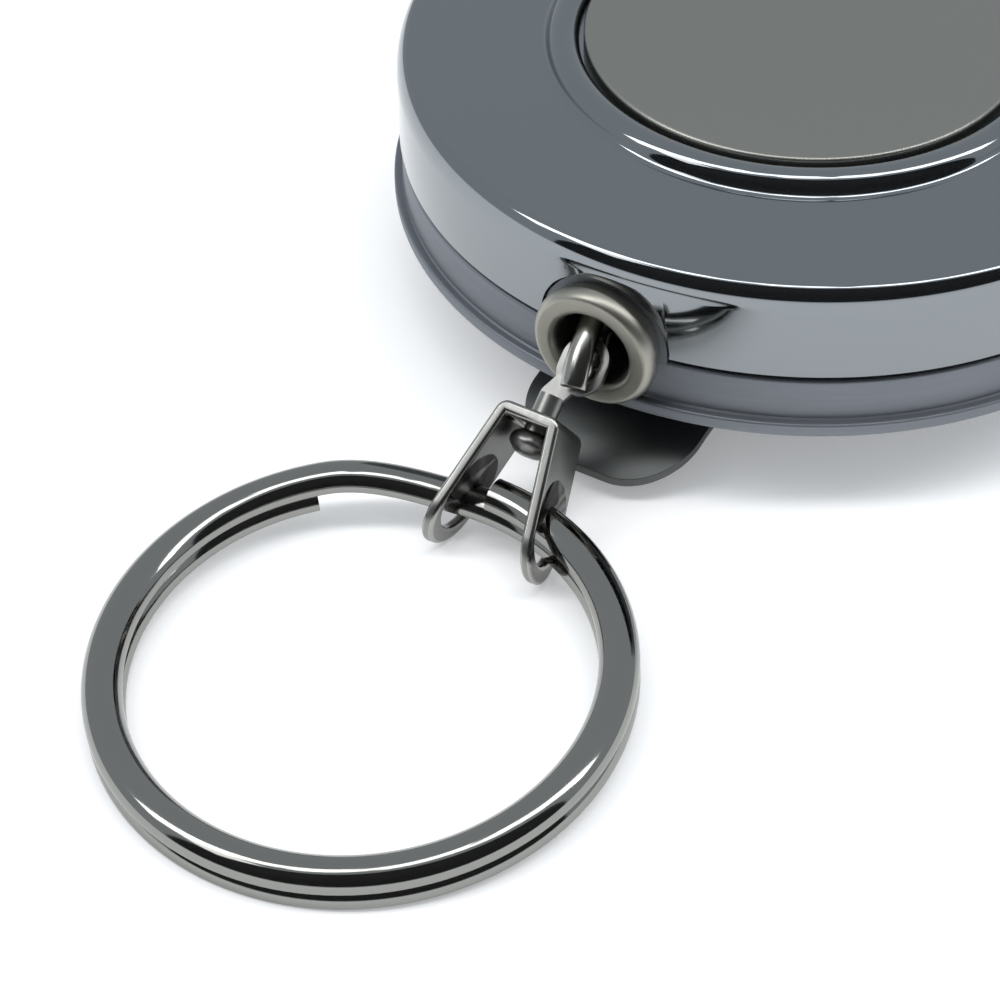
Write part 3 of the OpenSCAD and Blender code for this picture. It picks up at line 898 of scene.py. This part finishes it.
ring_bm = bmesh.new()
wire_loop = [ring_bm.verts.new((0, RING_R + out, up)) for out, up in wire]
wire_edges = [ring_bm.edges.new(pair) for pair in zip(wire_loop, wire_loop[1:] + wire_loop[:1])]
bmesh.ops.spin(ring_bm, geom=wire_loop + wire_edges, cent=(0, 0, 0), axis=(0, 0, -1),
               angle=math.radians(SWEEP), steps=RING_STEPS, dvec=(0, 0, HELIX_RISE))
for vert in ring_bm.verts:
    step = round(vert.co.z / HELIX_RISE)
    vert.co.z += coil_height(SWEEP * step / RING_STEPS) - step * HELIX_RISE
ring_place = (Matrix.Translation(hinge) @ Matrix.Rotation(ring_tilt, 4, "X")
              @ Matrix.Translation((0, -RING_R, 0)))
ring = as_object("key_ring_coils", placed(capped(ring_bm), ring_place))
dress(ring, ring_nickel, 50)
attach(ring, "key_ring")
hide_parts("split_ring")

# %% [markdown]
# ## Chain
# At rest the chain is wound on the drum, and only a short run lies behind the eyelet. When the ring
# is pulled, some 600 mm of chain come out. One piece has to show both, so its links are modelled
# pressed together in the short run, and the blend between the case and the chain's end draws them
# out. A blend moves a point by a soft S of its place in the run. The links are spaced by the
# inverse of that S, so they come out evenly. The last one reaches past the run and hooks into the
# end link.

# %% Chain run
PULL = 600.0
RUN_START = -19.2
RUN_LEN = 3.3
CHAIN_X = -0.4
CHAIN_Z = 9.25
CHAIN_PITCH = 2.4
paid_out = PULL + RUN_LEN
link_count = int(paid_out / CHAIN_PITCH) + 1


def place_in_run(along):
    """Y at rest of the point that lies so far along the chain when it is all out."""
    beyond = max(0.0, along - paid_out)
    share = max(0.0, min(1.0, along / paid_out))
    return RUN_START - RUN_LEN * (0.5 - math.sin(math.asin(1 - 2 * share) / 3)) - beyond


print("chain:", link_count, "links")

# %% Chain links
CHAIN_WIRE_R = 0.22
CHAIN_LINK_W = 1.5
CHAIN_LINK_L = 3.0
CHAIN_SIDES = 4
CHAIN_STEPS = 12
CHAIN_TWIST = 45
ON_MIDDLE = 0.01
stretch = CHAIN_LINK_L - CHAIN_LINK_W
upright = Matrix.Rotation(math.radians(90), 3, "X")
chain_bm = bmesh.new()
for i in range(link_count):
    before = set(chain_bm.verts)
    bmesh.ops.create_circle(chain_bm, segments=CHAIN_SIDES, radius=CHAIN_WIRE_R)
    circle = [v for v in chain_bm.verts if v not in before]
    bmesh.ops.translate(chain_bm, vec=(CHAIN_LINK_W / 2 - CHAIN_WIRE_R, 0, 0), verts=circle)
    wire_ring = circle + list({e for v in circle for e in v.link_edges})
    bmesh.ops.rotate(chain_bm, cent=(0, 0, 0), matrix=upright, verts=circle)
    bmesh.ops.spin(chain_bm, geom=wire_ring, cent=(0, 0, 0), axis=(0, 0, 1), angle=math.tau,
                   steps=CHAIN_STEPS, use_merge=True)
    one_link = [v for v in chain_bm.verts if v not in before]
    for vert in one_link:
        if abs(vert.co.y) > ON_MIDDLE:
            vert.co.y += math.copysign(stretch / 2, vert.co.y)
    quarter = Matrix.Rotation(math.radians(CHAIN_TWIST + 90 * (i % 2)), 3, "Y")
    bmesh.ops.rotate(chain_bm, cent=(0, 0, 0), matrix=quarter, verts=one_link)
    middle = CHAIN_LINK_L / 2 + i * CHAIN_PITCH
    for vert in one_link:
        vert.co.y = place_in_run(middle - vert.co.y)
        vert.co.x += CHAIN_X
        vert.co.z += CHAIN_Z
chain = as_object("chain_links", chain_bm)
dress(chain, link_nickel, 60)
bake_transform(chain)
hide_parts("chain_run")

# %% [markdown]
# ## Floor
# A plain pale floor. What the camera and the metal see of it is lifted to white by a little
# emission, and the soft shadow stays in the part that the lamps light.

# %% Floor
FLOOR_SIZE = 6.0
FLOOR_DROP = 0.00006
FLOOR_LIFT = 0.24
floor_bm = bmesh.new()
bmesh.ops.create_grid(floor_bm, x_segments=1, y_segments=1, size=FLOOR_SIZE / MM)
bmesh.ops.translate(floor_bm, vec=(0, 0, -FLOOR_DROP / MM), verts=floor_bm.verts)
floor = as_object("floor", floor_bm)
paper, paper_shader = bare_finish("white_paper", (0.86, 0.86, 0.86), 1.0, 0.0)
paper_shader.inputs["Specular IOR Level"].default_value = 0.0
paper_shader.inputs["Emission Color"].default_value = (1, 1, 1, 1)
paper_nodes, paper_links = paper.node_tree.nodes, paper.node_tree.links
ray = paper_nodes.new("ShaderNodeLightPath")
seen = paper_nodes.new("ShaderNodeMath")
seen.operation = "MAXIMUM"
paper_links.new(ray.outputs["Is Camera Ray"], seen.inputs[0])
paper_links.new(ray.outputs["Is Glossy Ray"], seen.inputs[1])
seen_through = paper_nodes.new("ShaderNodeMath")
seen_through.operation = "MAXIMUM"
paper_links.new(seen.outputs[0], seen_through.inputs[0])
paper_links.new(ray.outputs["Is Transmission Ray"], seen_through.inputs[1])
lift = paper_nodes.new("ShaderNodeMath")
lift.operation = "MULTIPLY"
lift.inputs[1].default_value = FLOOR_LIFT
paper_links.new(seen_through.outputs[0], lift.inputs[0])
paper_links.new(lift.outputs[0], paper_shader.inputs["Emission Strength"])
floor.data.materials.append(paper)

# %% [markdown]
# ## Light
# Chrome looks like its surroundings. A product studio gives it a plain grey room, a broad soft lamp
# overhead, a row of small lamps for sparkle along the rim, one for the edges of the stirrup, and a
# black card near the camera, which draws the dark line round every polished edge. The card is only
# there for the metal: the camera and the floor don't see it.

# %% Room
room = bpy.data.worlds.new("grey_room")
room.use_nodes = True
backdrop = room.node_tree.nodes["Background"]
backdrop.inputs["Color"].default_value = (0.54, 0.58, 0.62, 1.0)
backdrop.inputs["Strength"].default_value = 1.0
bpy.context.scene.world = room
print("room:", room.name)

# %% Lamps
CAMERA_AT = Vector((55.05, -123.40, 104.91)) * MM
CAMERA_RIGHT = Vector((0.8558, 0.5170, -0.0170))
CAMERA_UP = Vector((-0.3461, 0.5966, 0.7241))
CAMERA_WAY = Vector((-0.3845, 0.6138, -0.6895))
LOOK_AT = Vector((0, -20, 8)) * MM


def soft_lamp(name, place, size, power):
    """A square area lamp at a place, turned towards the reel."""
    lamp = bpy.data.lights.new(name, "AREA")
    lamp.size = size
    lamp.energy = power
    obj = bpy.data.objects.new(name, lamp)
    turned_to = (LOOK_AT - place).to_track_quat("-Z", "Y")
    obj.matrix_world = Matrix.Translation(place) @ turned_to.to_matrix().to_4x4()
    bpy.context.scene.collection.objects.link(obj)
    return obj


TOWARDS_CAMERA = Vector((-CAMERA_WAY.x, -CAMERA_WAY.y, 0)).normalized()
SIDEWAYS = Vector((-TOWARDS_CAMERA.y, TOWARDS_CAMERA.x, 0))
UPWARDS = Vector((0, 0, 1))

CEILING_AT = Vector((-0.05, 0.15, 0.90))
CEILING_SIZE = 0.9
CEILING_POWER = 1.6
ceiling = soft_lamp("ceiling", CEILING_AT, CEILING_SIZE, CEILING_POWER)
ceiling.visible_glossy = False
ROW_LAMPS = 11
ROW_TILT = math.radians(5)
ROW_AWAY = 0.6
ROW_SPAN = 1.50
ROW_SIZE = 0.14
ROW_POWER = 0.28
row_middle = ROW_AWAY * (math.sin(ROW_TILT) * TOWARDS_CAMERA + math.cos(ROW_TILT) * UPWARDS)
for i in range(ROW_LAMPS):
    lamp_at = row_middle + ROW_SPAN * (i / (ROW_LAMPS - 1) - 0.5) * SIDEWAYS
    soft_lamp("row_" + str(i), lamp_at, ROW_SIZE, ROW_POWER)
SIDE_AT = Vector((-0.27, -0.355, 0.54))
SIDE_SIZE = 0.2
SIDE_POWER = 0.3
soft_lamp("stirrup_side", SIDE_AT, SIDE_SIZE, SIDE_POWER)
print("lamps:", len(bpy.data.lights))

# %% Black card
CARD_W = 1.8
CARD_H = 0.9
CARD_AWAY = 0.36
CARD_LIFT = 0.02
card_bm = bmesh.new()
bmesh.ops.create_grid(card_bm, x_segments=1, y_segments=1, size=0.5 / MM)
bmesh.ops.scale(card_bm, vec=(CARD_W, CARD_H, 1), verts=card_bm.verts)
card_place = Matrix((SIDEWAYS, UPWARDS, TOWARDS_CAMERA)).transposed().to_4x4()
card_place.translation = (TOWARDS_CAMERA * CARD_AWAY + UPWARDS * (CARD_H / 2 + CARD_LIFT)) / MM
card = as_object("black_card", placed(card_bm, card_place))
black, _ = bare_finish("black_card", (0.02, 0.02, 0.02), 1.0, 0.0)
card.data.materials.append(black)
card.visible_camera = False
card.visible_shadow = False
card.visible_diffuse = False

# %% [markdown]
# ## Camera
# The photograph was taken from above and in front, close to the reel. The place and the lens were
# worked out from the outlines of the round case and of the ring.

# %% Camera
lens = bpy.data.cameras.new("camera")
lens.lens = 95.34
lens.sensor_width = 36.0
lens.clip_start = 0.005
camera = bpy.data.objects.new("camera", lens)
turn = Matrix((CAMERA_RIGHT, CAMERA_UP, -CAMERA_WAY)).transposed().to_4x4()
camera.matrix_world = Matrix.Translation(CAMERA_AT) @ turn
bpy.context.scene.collection.objects.link(camera)
bpy.context.scene.camera = camera
bpy.context.scene.view_settings.view_transform = "Standard"
